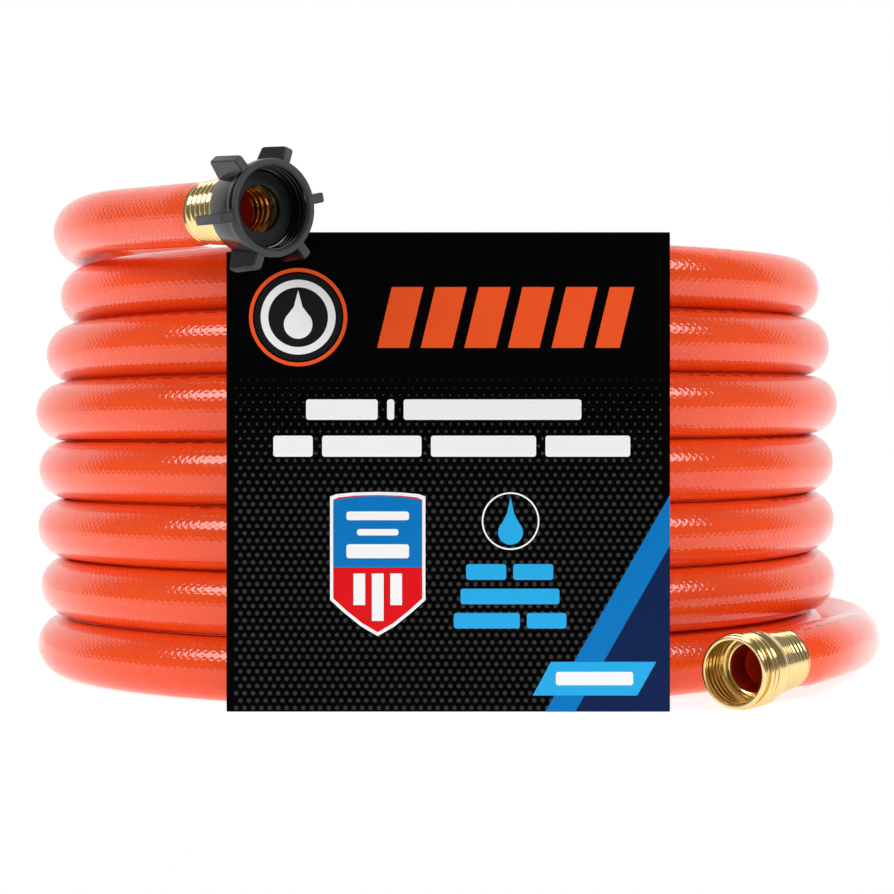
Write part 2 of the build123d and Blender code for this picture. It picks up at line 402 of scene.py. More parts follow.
def mouldedMaterial(name, finish):
    material, tree, shader = newMaterial(name, finish)
    coordinates = objectCoordinates(tree)
    grain = place(tree, fineGrain, Vector=coordinates, Size=mouldSet["grainSize"])
    wear = place(tree, edgeWear, Vector=coordinates, Amount=finish["wear"])
    rubbed = mixColors(tree, wear.outputs["Mask"], finish["color"], finish["worn"])
    tree.links.new(rubbed, shader.inputs["Base Color"])
    varyRoughness(tree, shader, grain.outputs["Patches"], finish["roughness"], mouldSet["roughSpread"])
    bumpFrom(tree, shader, grain.outputs["Height"], finish["grain"])
    return material


cardFinishes = {
    "cardPrint": {"color": (0.0010, 0.0010, 0.0011), "roughness": 0.50, "specular": 0.01},
    "cardBoard": {"color": (0.52, 0.50, 0.46), "roughness": 0.85, "specular": 0.3},
    "inkDot": {"color": (0.036, 0.036, 0.037), "roughness": 0.50, "specular": 0.03},
    "inkDisc": {"color": (0.012, 0.012, 0.013), "roughness": 0.50, "specular": 0.03},
    "inkOrange": {"color": (0.96, 0.098, 0.018), "roughness": 0.45, "specular": 0.08},
    "inkWhite": {"color": (0.98, 0.98, 0.98), "roughness": 0.45, "specular": 0.3},
    "inkSky": {"color": (0.022, 0.410, 0.80), "roughness": 0.45, "specular": 0.08},
    "inkBlue": {"color": (0.0020, 0.180, 0.52), "roughness": 0.45, "specular": 0.08},
    "inkNavy": {"color": (0.0030, 0.015, 0.075), "roughness": 0.45, "specular": 0.08},
    "inkRed": {"color": (0.74, 0.006, 0.010), "roughness": 0.45, "specular": 0.08},
}


# what the card and every ink on it share
cardGrain = {"size": 3200.0, "detail": 4.0, "depth": 0.00001, "roughSpread": (0.12, 0.06),
             "lighter": (1.12, 0.001)}


def cardMaterial(name):
    finish = cardFinishes[name]
    material, tree, shader = newMaterial(name, finish)
    grain = place(tree, fineGrain, Vector=objectCoordinates(tree), Size=cardGrain["size"],
                  Detail=cardGrain["detail"])
    gain, lift = cardGrain["lighter"]
    lighter = tuple(min(1.0, c * gain + lift) for c in finish["color"])
    mottled = mixColors(tree, grain.outputs["Height"], finish["color"], lighter)
    tree.links.new(mottled, shader.inputs["Base Color"])
    varyRoughness(tree, shader, grain.outputs["Patches"], finish["roughness"], cardGrain["roughSpread"])
    bumpFrom(tree, shader, grain.outputs["Height"], cardGrain["depth"])
    return material


hosePvc = hoseMaterial()
brassFitting = brassMaterial()
nutPlastic = mouldedMaterial("nutPlastic", nutFinish)
nutMatte = mouldedMaterial("nutMatte", nutFaceFinish)
washerRubber = mouldedMaterial("washerRubber", washerFinish)
inks = {name: cardMaterial(name) for name in cardFinishes}
print("materials ready")


# mesh helpers
def makeObject(name, mesh, *materials):
    for material in materials:
        mesh.materials.append(material)
    piece = bpy.data.objects.new(name, mesh)
    bpy.context.collection.objects.link(piece)
    return piece


def smoothByAngle(mesh, limit=32):
    work = bmesh.new()
    work.from_mesh(mesh)
    bmesh.ops.recalc_face_normals(work, faces=work.faces)
    for face in work.faces:
        face.smooth = True
    for edge in work.edges:
        edge.smooth = edge.is_boundary or edge.calc_face_angle(0) < math.radians(limit)
    work.to_mesh(mesh)
    work.free()


def fittingFrame(face, out):
    # local z runs out of the fitting's open face, local x stays level
    level = Vector((0, 0, 1)).cross(out).normalized()
    up = out.cross(level)
    turn = Matrix((level, up, out)).transposed().to_4x4()
    return Matrix.Translation(face) @ turn


def turned(name, outline, matrix, material, segments=96):
    # a closed outline of (distance behind the face, radius) in millimetres, turned about the axis
    verts = []
    for step in range(segments):
        angle = 2 * math.pi * step / segments
        for behind, radius in outline:
            verts.append((radius * mm * math.cos(angle), radius * mm * math.sin(angle), -behind * mm))
    count = len(outline)
    faces = []
    for step in range(segments):
        here, there = step * count, ((step + 1) % segments) * count
        for i in range(count):
            j = (i + 1) % count
            faces.append((here + i, here + j, there + j, there + i))
    mesh = bpy.data.meshes.new(name)
    mesh.from_pydata(verts, [], faces)
    smoothByAngle(mesh)
    mesh.transform(matrix)
    return makeObject(name, mesh, material)


def rippled(start, end, base, swell, count, steps=8):
    # an outline stretch with even waves
    points = []
    for i in range(count * steps + 1):
        share = i / (count * steps)
        wave = 0.5 - 0.5 * math.cos(2 * math.pi * count * share)
        points.append((start + (end - start) * share, base + swell * wave))
    return points


def ridged(start, end, first, last, depth, count, steps=7):
    # an outline stretch with round ridges and narrow grooves, from one crest radius to another
    points = []
    for i in range(count):
        for k in range(steps + (i == count - 1)):
            share = (i + k / steps) / count
            crest = math.sin(math.pi * k / steps)
            radius = first + (last - first) * share - depth * (1 - crest)
            points.append((start + (end - start) * share, radius))
    return points


def treeInput(tree, name):
    sockets = [item for item in tree.interface.items_tree if item.item_type == "SOCKET"]
    return next(socket.identifier for socket in sockets if socket.name == name)


def grow(name, source, tree, values, material):
    # runs a node tree on a mesh and keeps the result as a plain mesh
    source.materials.append(material)
    host = bpy.data.objects.new(name, source)
    bpy.context.collection.objects.link(host)
    modifier = host.modifiers.new("grow", "NODES")
    modifier.node_group = tree
    for label, value in values.items():
        modifier[treeInput(tree, label)] = value
    modifier[treeInput(tree, "Material")] = material
    shown = host.evaluated_get(bpy.context.evaluated_depsgraph_get())
    mesh = bpy.data.meshes.new_from_object(shown)
    mesh.name = name
    bpy.data.objects.remove(host)
    return mesh


def newNodes(name, inputs):
    tree = bpy.data.node_groups.new(name, "GeometryNodeTree")
    tree.interface.new_socket(name="Geometry", in_out="INPUT", socket_type="NodeSocketGeometry")
    for label, kind, value in inputs:
        socket = tree.interface.new_socket(name=label, in_out="INPUT", socket_type=kind)
        if value is not None:
            socket.default_value = value
    tree.interface.new_socket(name="Material", in_out="INPUT", socket_type="NodeSocketMaterial")
    tree.interface.new_socket(name="Geometry", in_out="OUTPUT", socket_type="NodeSocketGeometry")
    return tree, tree.nodes.new("NodeGroupInput"), tree.nodes.new("NodeGroupOutput")


def finishTree(tree, given, result, geometry):
    real = tree.nodes.new("GeometryNodeRealizeInstances")
    tree.links.new(geometry, real.inputs[0])
    paint = tree.nodes.new("GeometryNodeSetMaterial")
    tree.links.new(real.outputs[0], paint.inputs["Geometry"])
    tree.links.new(given.outputs["Material"], paint.inputs["Material"])
    tree.links.new(paint.outputs[0], result.inputs[0])


# the hose: sizes, and the route of its middle line from the coil's axis in mm
hoseSet = {
    "radius": 11.1 * mm,
    "bore": 7.95 * mm,
    "coilWide": 11.0 * mm,       # half width and half height of a turn pressed into the stack
    "coilTall": 11.6 * mm,
    "neck": 9.3 * mm,            # where the fittings squeeze it
    "neckEnds": (0.012, 0.030),
    "sides": 40,
    "press": (0.30, 0.72),       # how far from each end the stack begins to press it
    "pressEase": 0.12,
    "boreDepth": 0.15,
    "length": 7.62,
    "pointsPerTurn": 16,
    # centre radius of each turn, top first, where it passes the left and the right of the stack
    "leftRadii": (140.0, 142.9, 148.5, 152.7, 151.5, 152.0, 150.8, 152.7),
    "rightRadii": (146.3, 149.6, 152.7, 151.2, 151.6, 152.0, 148.5),
}
headPoints = [
    (-65.0, -179.1, 170.1),
    (-84.3, -154.8, 170.9),
    (-140.0, -84.4, 175.0),
    (-146.0, 60.5, 173.9),
    (-60.5, 146.0, 168.2),
    (60.5, 146.0, 161.9),
    (146.0, 60.5, 156.4),
]
tailPoints = [
    (-152.7, 58.0, 11.2),
    (-123.0, 118.0, 11.2),
    (-74.0, 163.0, 11.2),
    (-12.0, 184.0, 11.2),
    (50.0, 185.0, 11.2),
    (106.0, 170.0, 11.2),
    (148.0, 143.0, 11.2),
    (174.5, 106.0, 11.2),
    (181.0, 64.0, 11.2),
    (176.0, 20.0, 11.4),
    (168.5, -25.0, 12.8),
    (157.2, -71.0, 15.2),
    (141.3, -113.8, 16.7),
    (125.3, -134.3, 15.4),
    (113.0, -150.0, 14.4),
]


def easeStep(x):
    return x * x * (3 - 2 * x)


def turnRadius(turns):
    # turns counts from the left side of the top turn, and half a turn on is its right side
    marks = [r for pair in zip(hoseSet["leftRadii"], hoseSet["rightRadii"]) for r in pair]
    marks.append(hoseSet["leftRadii"][-1])
    passed = min(turns * 2, len(marks) - 1.001)
    mark = int(passed)
    share = easeStep(passed - mark)
    return (marks[mark] * (1 - share) + marks[mark + 1] * share) * mm


def turnHeight(turns):
    # level down the left and the front, falling to the next turn across the back
    whole = math.floor(turns)
    share = turns - whole
    top = hoseSet["coilTall"] + pitch * stackTurns
    return top - pitch * (whole + easeStep(share * (2 - share)))


def hoseRoute():
    route = [coilAxis + Vector(p) * mm for p in headPoints]
    step = 1 / hoseSet["pointsPerTurn"]
    # control points stand out from the turn by what the spline cuts inside them
    reach = 2 / (1 + math.cos(math.pi * step)**2)
    turns = 0.5 + step / 2
    while turns < stackTurns:
        angle = math.pi * (1 - 2 * turns)
        radius = turnRadius(turns) * reach
        spot = Vector((radius * math.cos(angle), radius * math.sin(angle), turnHeight(turns)))
        route.append(coilAxis + spot)
        turns += step
    route += [coilAxis + Vector(p) * mm for p in tailPoints]
    return route


def smoothLine(name, points):
    curve = bpy.data.curves.new(name, "CURVE")
    curve.dimensions = "3D"
    spline = curve.splines.new("NURBS")
    spline.points.add(len(points) - 1)
    for point, spot in zip(spline.points, points):
        point.co = (*spot, 1)
    spline.order_u = 3
    spline.use_endpoint_u = True
    spline.resolution_u = 10
    holder = bpy.data.objects.new(name, curve)
    bpy.context.collection.objects.link(holder)
    mesh = bpy.data.meshes.new_from_object(holder)
    line = [v.co.copy() for v in mesh.vertices]
    bpy.data.objects.remove(holder)
    return line


def buildHose():
    line = smoothLine("hoseLine", hoseRoute())
    runs = [0.0]
    for a, b in zip(line, line[1:]):
        runs.append(runs[-1] + (b - a).length)
    total = runs[-1]
    tangents = []
    for i in range(len(line)):
        ahead = line[min(i + 1, len(line) - 1)] - line[max(i - 1, 0)]
        tangents.append(ahead.normalized())
    sides = hoseSet["sides"]
    upward = Vector((0, 0, 1))
    # the stretch pressed into the stack, as distances along the hose
    pressStart, pressEnd = hoseSet["press"][0], total - hoseSet["press"][1]
    ease = hoseSet["pressEase"]
    neckStart, neckEnd = hoseSet["neckEnds"]

    def ring(i, radius, pressed=True):
        side = tangents[i].cross(upward).normalized()
        up = side.cross(tangents[i])
        if pressed:
            fromCut = min(runs[i], total - runs[i])
            freed = easeStep(min(1, max(0, (fromCut - neckStart) / (neckEnd - neckStart))))
            radius = hoseSet["neck"] + (radius - hoseSet["neck"]) * freed
        held = min(1, max(0, (runs[i] - pressStart) / ease)) * min(1, max(0, (pressEnd - runs[i]) / ease))
        held = easeStep(held) if pressed else 0
        wide = radius + (hoseSet["coilWide"] - hoseSet["radius"]) * held
        tall = radius + (hoseSet["coilTall"] - hoseSet["radius"]) * held
        points = []
        for k in range(sides):
            angle = 2 * math.pi * k / sides
            points.append(line[i] + side * wide * math.cos(angle) + up * tall * math.sin(angle))
        return points

    def depthIndex(depth):
        return min(range(len(runs)), key=lambda i: abs(runs[i] - depth))

    # rings in order: inner bore at the head, out round the cut end, the outside, and into the tail's bore
    order = []
    headInner = depthIndex(hoseSet["boreDepth"])
    tailInner = depthIndex(total - hoseSet["boreDepth"])
    for i in range(headInner, -1, -1):
        order.append((i, hoseSet["bore"], False))
    for i in range(len(line)):
        order.append((i, hoseSet["radius"], True))
    for i in range(len(line) - 1, tailInner - 1, -1):
        order.append((i, hoseSet["bore"], False))
    verts, faces, uvs = [], [], []
    for i, radius, pressed in order:
        verts += ring(i, radius, pressed)
    for r in range(len(order) - 1):
        for k in range(sides):
            n = (k + 1) % sides
            faces.append((r * sides + k, r * sides + n, (r + 1) * sides + n, (r + 1) * sides + k))
            near, far = runs[order[r][0]], runs[order[r + 1][0]]
            uvs.append(((near, k / sides), (near, (k + 1) / sides), (far, (k + 1) / sides), (far, k / sides)))
    faces.append(tuple(range(sides)))
    faces.append(tuple(reversed(range((len(order) - 1) * sides, len(order) * sides))))
    uvs += [[(0, 0)] * sides, [(0, 0)] * sides]
    mesh = bpy.data.meshes.new("hose")
    mesh.from_pydata(verts, [], faces)
    layer = mesh.uv_layers.new(name="hoseRun")
    flat = [value for face in uvs for corner in face for value in corner]
    layer.data.foreach_set("uv", flat)
    smoothByAngle(mesh, 50)
    hose = makeObject("hose", mesh, hosePvc)
    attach(hose, hoseBody)
    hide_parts("hose_coil", "hose_head", "hose_tail")
    print("hose built,", round(total, 3), "m long,", len(mesh.polygons), "faces")
    return hose, line


hose, hoseLine = buildHose()


# both fittings are drawn as outlines of (distance behind the open face, radius) in mm
swivelFrame = fittingFrame(nutFace, nutOut)
maleFrame = fittingFrame(maleFace, maleOut)

lugSet = {
    "count": 6,
    "phase": 73.5,
    "thickness": 3.3,
    "bevel": 0.45,
    "outline": [(0.5, 14.2), (0.5, 20.0), (0.8, 20.8), (1.6, 21.1), (14.4, 21.8), (15.1, 21.6),
                (15.4, 20.9), (17.0, 15.4), (17.0, 13.9), (14.6, 14.2)],
}


def lugTree():
    tree, given, result = newNodes("lugsRoundNut", [
        ("Count", "NodeSocketInt", 6), ("Phase", "NodeSocketFloat", 0.0)])
    points = tree.nodes.new("GeometryNodePoints")
    tree.links.new(given.outputs["Count"], points.inputs["Count"])
    index = tree.nodes.new("GeometryNodeInputIndex")
    step = mathNode(tree, "DIVIDE", 2 * math.pi, given.outputs["Count"])
    turn = mathNode(tree, "MULTIPLY_ADD", index.outputs[0], step, given.outputs["Phase"])
    angles = tree.nodes.new("ShaderNodeCombineXYZ")
    tree.links.new(turn, angles.inputs["Z"])
    copies = tree.nodes.new("GeometryNodeInstanceOnPoints")
    tree.links.new(points.outputs[0], copies.inputs["Points"])
    tree.links.new(given.outputs["Geometry"], copies.inputs["Instance"])
    tree.links.new(angles.outputs[0], copies.inputs["Rotation"])
    finishTree(tree, given, result, copies.outputs[0])
    return tree


def lugMesh():
    # one paddle lug, standing out along x, with its front towards +z
    work = bmesh.new()
    half = lugSet["thickness"] / 2 * mm
    ring = [work.verts.new((radius * mm, -half, -behind * mm)) for behind, radius in lugSet["outline"]]
    face = work.faces.new(ring)
    made = bmesh.ops.extrude_face_region(work, geom=[face])
    moved = [v for v in made["geom"] if isinstance(v, bmesh.types.BMVert)]
    bmesh.ops.translate(work, verts=moved, vec=(0, 2 * half, 0))
    bmesh.ops.recalc_face_normals(work, faces=work.faces)
    bmesh.ops.bevel(work, geom=work.edges[:], offset=lugSet["bevel"] * mm, segments=3, affect="EDGES",
                    clamp_overlap=True)
    mesh = bpy.data.meshes.new("lug")
    work.to_mesh(mesh)
    work.free()
    return mesh


threadSet = {
    "swivelThread": {"radius": 13.75, "pitch": 2.2, "turns": 2.6, "ridge": 0.60, "start": 1.4},
    "maleThread": {"radius": 12.55, "pitch": 2.6, "turns": 3.0, "ridge": 0.85, "start": 2.4},
}


def threadTree():
    tree, given, result = newNodes("threadRidge", [
        ("Radius", "NodeSocketFloat", 0.0135), ("Pitch", "NodeSocketFloat", 0.0022),
        ("Turns", "NodeSocketFloat", 3.5), ("Ridge", "NodeSocketFloat", 0.0006)])
    spiral = tree.nodes.new("GeometryNodeCurveSpiral")
    spiral.inputs["Resolution"].default_value = 72
    tree.links.new(given.outputs["Turns"], spiral.inputs["Rotations"])
    tree.links.new(given.outputs["Radius"], spiral.inputs["Start Radius"])
    tree.links.new(given.outputs["Radius"], spiral.inputs["End Radius"])
    rise = mathNode(tree, "MULTIPLY", given.outputs["Pitch"], given.outputs["Turns"])
    tree.links.new(rise, spiral.inputs["Height"])
    profile = tree.nodes.new("GeometryNodeCurvePrimitiveCircle")
    profile.inputs["Resolution"].default_value = 10
    tree.links.new(given.outputs["Ridge"], profile.inputs["Radius"])
    # the ridge sinks back into the wall at each end
    factor = tree.nodes.new("GeometryNodeSplineParameter").outputs["Factor"]
    fromEnd = mathNode(tree, "MINIMUM", factor, mathNode(tree, "SUBTRACT", 1.0, factor))
    taper = mathNode(tree, "MINIMUM", mathNode(tree, "MULTIPLY_ADD", fromEnd, 12.0, 0.25), 1.0)
    sweep = tree.nodes.new("GeometryNodeCurveToMesh")
    tree.links.new(spiral.outputs[0], sweep.inputs["Curve"])
    tree.links.new(profile.outputs[0], sweep.inputs["Profile Curve"])
    tree.links.new(taper, sweep.inputs["Scale"])
    sweep.inputs["Fill Caps"].default_value = True
    finishTree(tree, given, result, sweep.outputs[0])
    return tree


threadNodes = threadTree()


def threadRidge(name, matrix, material):
    size = threadSet[name]
    values = {"Radius": size["radius"] * mm, "Pitch": size["pitch"] * mm, "Turns": size["turns"],
              "Ridge": size["ridge"] * mm}
    mesh = grow(name, bpy.data.meshes.new(name + "Seed"), threadNodes, values, material)
    length = size["pitch"] * size["turns"]
    mesh.transform(matrix @ Matrix.Translation((0, 0, -(size["start"] + length) * mm)))
    smoothByAngle(mesh, 60)
    piece = bpy.data.objects.new(name, mesh)
    bpy.context.collection.objects.link(piece)
    return piece


swivelSet = {
    "shell": [(0.0, 14.5), (0.0, 15.7), (0.25, 16.1), (0.7, 16.3), (3.4, 16.3), (4.0, 16.1), (4.3, 15.5),
              (15.2, 15.2), (16.0, 14.9), (16.6, 14.1), (17.6, 12.6), (18.3, 12.2), (18.5, 11.8),
              (18.5, 8.95), (13.2, 8.95), (13.2, 13.0), (8.0, 13.0), (7.8, 13.65), (1.2, 13.65),
              (0.4, 14.1)],
    "washer": [(8.3, 8.3), (8.1, 8.6), (8.1, 12.4), (8.4, 12.75), (10.8, 12.75), (11.05, 12.5),
               (11.05, 8.1), (10.8, 7.9), (8.6, 7.9)],
    "stemOutside": [(11.2, 8.2), (11.2, 12.0), (11.5, 12.4), (13.1, 12.4), (13.1, 8.8), (19.0, 8.8),
                    (19.0, 7.9), (25.0, 7.9), (25.0, 7.5)],
    "stemBore": {"start": 24.4, "end": 12.6, "base": 7.15, "swell": 0.55, "count": 4},
    "stemMouth": [(11.8, 7.7)],
    "ferruleFront": [(18.75, 8.9), (18.75, 10.2), (19.1, 10.8)],
    "ferruleRidges": {"start": 19.4, "end": 39.2, "first": 12.1, "last": 10.8, "depth": 0.85, "count": 6},
    "ferruleBack": [(39.9, 10.6), (40.4, 10.4), (40.5, 10.15), (40.2, 9.4), (19.4, 9.4), (19.4, 8.9)],
    "matteDepth": 3.0,       # how far behind the face the matte front ring may lie
}


def matteFaces(piece, edges):
    # the faces towards the opening, and a lug's narrow edges, have the mould's fine matte finish
    piece.data.materials.append(nutMatte)
    for face in piece.data.polygons:
        reach = face.center - nutFace
        behind = -reach.dot(nutOut)
        across = (reach + nutOut * behind).cross(nutOut).normalized()
        frontRing = face.normal.dot(nutOut) > 0.35 and behind < swivelSet["matteDepth"] * mm
        if frontRing or (edges and abs(face.normal.dot(across)) < 0.9):
            face.material_index = 1


def buildSwivel():
    nut = turned("nutShell", swivelSet["shell"], swivelFrame, nutPlastic)
    lugs = grow("nutLugs", lugMesh(), lugTree(),
                {"Count": lugSet["count"], "Phase": math.radians(lugSet["phase"])}, nutPlastic)
    lugs.transform(swivelFrame)
    smoothByAngle(lugs, 40)
    lugsPiece = bpy.data.objects.new("nutLugs", lugs)
    bpy.context.collection.objects.link(lugsPiece)
    ridge = threadRidge("swivelThread", swivelFrame, nutPlastic)
    washer = turned("sealWasher", swivelSet["washer"], swivelFrame, washerRubber)
    matteFaces(nut, False)
    matteFaces(lugsPiece, True)
    for piece, slot in ((nut, "nut_plastic"), (lugsPiece, "nut_plastic"), (ridge, "nut_plastic"),
                        (washer, "washer_rubber")):
        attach(piece, nutBody)
    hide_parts("swivel_nut")
    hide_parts("seal_washer")

    # brass stem with its expanded bore, and the crimped sleeve behind the nut
    stem = swivelSet["stemOutside"] + rippled(**swivelSet["stemBore"]) + swivelSet["stemMouth"]
    femaleStem = turned("femaleStem", stem, swivelFrame, brassFitting)
    sleeve = swivelSet["ferruleFront"] + ridged(**swivelSet["ferruleRidges"]) + swivelSet["ferruleBack"]
    femaleSleeve = turned("femaleFerrule", sleeve, swivelFrame, brassFitting)
    for piece, node in ((femaleStem, "female_stem"), (femaleSleeve, "female_ferrule")):
        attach(piece, hoseBody)
        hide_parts(node)


buildSwivel()
print("swivel coupling built")


maleSet = {
    # a rolled lip, a thin wall for the thread, a shoulder, and the neck inside the hose
    "outside": [(0.0, 11.6), (0.0, 12.1), (0.25, 12.55), (0.8, 12.8), (1.4, 12.65), (1.8, 12.2),
                (10.6, 12.2), (11.0, 12.9), (11.4, 13.2), (11.7, 13.0), (12.0, 12.7), (12.2, 13.1),
                (12.5, 13.35), (14.0, 13.45), (14.9, 13.3), (15.5, 12.8), (15.9, 12.0), (16.6, 11.6),
                (17.4, 11.5), (17.6, 8.8), (19.0, 8.8), (19.0, 7.95), (21.4, 7.95)],
    "bore": [(21.4, 7.6), (15.0, 8.1), (13.4, 8.4), (12.7, 8.7), (12.5, 9.1), (12.6, 9.6), (12.9, 10.6),
             (12.7, 11.3)],
    "threadInside": {"start": 11.8, "end": 1.8, "first": 11.5, "last": 11.5, "depth": -0.5, "count": 4},
    "lip": [(1.2, 11.2), (0.6, 11.05), (0.15, 11.2)],
    "ferruleFront": [(17.8, 8.9), (17.8, 10.6), (18.0, 10.9)],
    "fineRidges": {"start": 18.2, "end": 24.2, "first": 11.45, "last": 11.15, "depth": 0.7, "count": 4},
    "coarseRidges": {"start": 24.2, "end": 35.0, "first": 11.2, "last": 10.6, "depth": 1.15, "count": 4},
    "ferruleBack": [(35.4, 10.45), (35.9, 10.2), (36.0, 9.95), (35.7, 9.4), (19.4, 9.4), (19.4, 8.9)],
}


def buildMaleEnd():
    wall = maleSet["outside"] + maleSet["bore"] + ridged(**maleSet["threadInside"]) + maleSet["lip"]
    stem = turned("maleStem", wall, maleFrame, brassFitting)
    ridge = threadRidge("maleThread", maleFrame, brassFitting)
    sleeve = maleSet["ferruleFront"] + ridged(**maleSet["fineRidges"]) + ridged(**maleSet["coarseRidges"])
    ferrule = turned("maleFerrule", sleeve + maleSet["ferruleBack"], maleFrame, brassFitting)
    for piece in (stem, ridge, ferrule):
        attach(piece, hoseBody)
    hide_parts("male_stem")
    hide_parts("male_ferrule")
    return stem, ridge, ferrule


maleStem, maleThread, maleFerrule = buildMaleEnd()
print("male end built")


# the card sleeve is one folded band
frontLow, frontHigh = (Vector(p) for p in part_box("sleeve_front"))
backLow, backHigh = (Vector(p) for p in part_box("sleeve_back"))
topLow, topHigh = (Vector(p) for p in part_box("sleeve_top"))
sleeveNodes = ("sleeve_front", "sleeve_top", "sleeve_back", "sleeve_base", "sleeve_glue_flap")

cardSet = {
    "thickness": 0.5 * mm,
    "crease": 1.4 * mm,
    "notch": (13 * mm, 19 * mm, 6.8 * mm),      # how far it goes in from the side, back and down
    "notchTool": 40 * mm,
    "notchCorner": 2 * mm,
    "flap": 22 * mm,
    "flapGap": 0.05 * mm,
}


def roundedCorners(points, radius, steps=6):
    # a closed outline in the side plane with each corner turned by an arc
    result = []
    count = len(points)
    for i, corner in enumerate(points):
        before = (points[i - 1] - corner).normalized()
        after = (points[(i + 1) % count] - corner).normalized()
        half = before.angle(after) / 2
        reach = radius / math.tan(half)
        centre = corner + (before + after).normalized() * radius / math.sin(half)
        start, end = corner + before * reach - centre, corner + after * reach - centre
        for k in range(steps + 1):
            share = k / steps
            result.append(centre + start.lerp(end, share).normalized() * radius)
    return result


def bandMesh(name, left, right):
    thick, crease = cardSet["thickness"], cardSet["crease"]
    frontY, backY = frontLow.y, backHigh.y
    floorZ, frontTop, backTop = frontLow.z, topLow.z + thick, topHigh.z
    corners = [Vector(c) for c in ((frontY, floorZ), (backY, floorZ), (backY, backTop), (frontY, frontTop))]
    inwards = [Vector(c) * thick for c in ((1, 1), (-1, 1), (-1, -1), (1, -1))]
    outer = roundedCorners(corners, crease)
    inner = roundedCorners([c + step for c, step in zip(corners, inwards)], crease - thick)
    count = len(outer)
    verts = [(x, p.x, p.y) for x in (left, right) for loop in (outer, inner) for p in loop]
    faces, tags = [], []
    for i in range(count):
        j = (i + 1) % count
        a, b, c, d = 0, count, 2 * count, 3 * count
        faces += [(a + i, c + i, c + j, a + j), (b + i, b + j, d + j, d + i),
                  (a + i, a + j, b + j, b + i), (c + i, d + i, d + j, c + j)]
        tags += [0, 1, 1, 1]
    mesh = bpy.data.meshes.new(name)
    mesh.from_pydata(verts, [], faces)
    mesh.materials.append(inks["cardPrint"])
    mesh.materials.append(inks["cardBoard"])
    mesh.polygons.foreach_set("material_index", tags)
    return mesh


def buildSleeve():
    mesh = bandMesh("cardSleeve", frontLow.x, frontHigh.x)
    smoothByAngle(mesh, 25)
    card = bpy.data.objects.new("cardSleeve", mesh)
    bpy.context.collection.objects.link(card)
    # notch where the coupling rests over the corner
    wide, deep, tall = cardSet["notch"]
    work = bmesh.new()
    bmesh.ops.create_cube(work, size=1)
    bmesh.ops.scale(work, vec=(2 * wide, 2 * deep, cardSet["notchTool"]), verts=work.verts)
    notchFloor = frontHigh.z + cardSet["thickness"] - tall
    corner = Vector((frontLow.x, frontLow.y, notchFloor + cardSet["notchTool"] / 2))
    bmesh.ops.translate(work, vec=corner, verts=work.verts)
    upright = [e for e in work.edges if abs(e.verts[0].co.z - e.verts[1].co.z) < 1e-6
               and e.verts[0].co.z < corner.z]
    bmesh.ops.bevel(work, geom=upright, offset=cardSet["notchCorner"], segments=5, affect="EDGES")
    cutMesh = bpy.data.meshes.new("notchTool")
    work.to_mesh(cutMesh)
    work.free()
    cutMesh.materials.append(inks["cardBoard"])
    tool = bpy.data.objects.new("notchTool", cutMesh)
    bpy.context.collection.objects.link(tool)
    cut = card.modifiers.new("notch", "BOOLEAN")
    cut.object = tool
    cut.solver = "EXACT"
    shown = card.evaluated_get(bpy.context.evaluated_depsgraph_get())
    card.data = bpy.data.meshes.new_from_object(shown)
    card.modifiers.clear()
    bpy.data.objects.remove(tool)
    # the glued flap, folded up inside the back panel
    thick = cardSet["thickness"]
    work = bmesh.new()
    bmesh.ops.create_cube(work, size=1)
    bmesh.ops.scale(work, vec=(frontHigh.x - frontLow.x, thick, cardSet["flap"]), verts=work.verts)
    middle = ((frontLow.x + frontHigh.x) / 2, backLow.y - thick / 2 - cardSet["flapGap"],
              thick + cardSet["flap"] / 2)
    bmesh.ops.translate(work, vec=middle, verts=work.verts)
    bmesh.ops.bevel(work, geom=work.edges[:], offset=0.1 * mm, segments=1, affect="EDGES")
    flapMesh = bpy.data.meshes.new("glueFlap")
    work.to_mesh(flapMesh)
    work.free()
    flap = makeObject("glueFlap", flapMesh, inks["cardBoard"])
    for piece in (card, flap):
        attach(piece, hoseBody)
    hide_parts(*sleeveNodes)


buildSleeve()
print("card sleeve built")


# print on the front panel: plain shapes, placed from its lower left corner in mm
inkSet = {"lift": 0.04, "thickness": 0.05}


def inlay(name, outlines, ink, layer=0):
    # each outline becomes a closed film of ink standing just proud of the card
    work = bmesh.new()
    front = frontLow.y - (inkSet["lift"] + layer * inkSet["thickness"]) * mm
    back = front + inkSet["thickness"] * mm * 0.9
    for outline in outlines:
        near = [work.verts.new((frontLow.x + x * mm, front, frontLow.z + z * mm)) for x, z in outline]
        far = [work.verts.new((frontLow.x + x * mm, back, frontLow.z + z * mm)) for x, z in outline]
        work.faces.new(near)
        work.faces.new(far[::-1])
        for i in range(len(near)):
            j = (i + 1) % len(near)
            work.faces.new((near[i], far[i], far[j], near[j]))
    bmesh.ops.recalc_face_normals(work, faces=work.faces)
    mesh = bpy.data.meshes.new(name)
    work.to_mesh(mesh)
    work.free()
    piece = makeObject(name, mesh, inks[ink])
    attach(piece, hoseBody)
    return piece


def circle(x, z, radius, count=64):
    turns = [2 * math.pi * i / count for i in range(count)]
    return [(x + radius * math.cos(t), z + radius * math.sin(t)) for t in turns]


def arcBand(x, z, inner, outer, start=0, sweep=360, pieces=12):
    # a ring, or part of one, as short closed blocks side by side
    blocks = []
    for i in range(pieces):
        a = math.radians(start + sweep * i / pieces)
        b = math.radians(start + sweep * (i + 1) / pieces)
        steps = [a + (b - a) * k / 6 for k in range(7)]
        blocks.append([(x + outer * math.cos(t), z + outer * math.sin(t)) for t in steps]
                      + [(x + inner * math.cos(t), z + inner * math.sin(t)) for t in reversed(steps)])
    return blocks


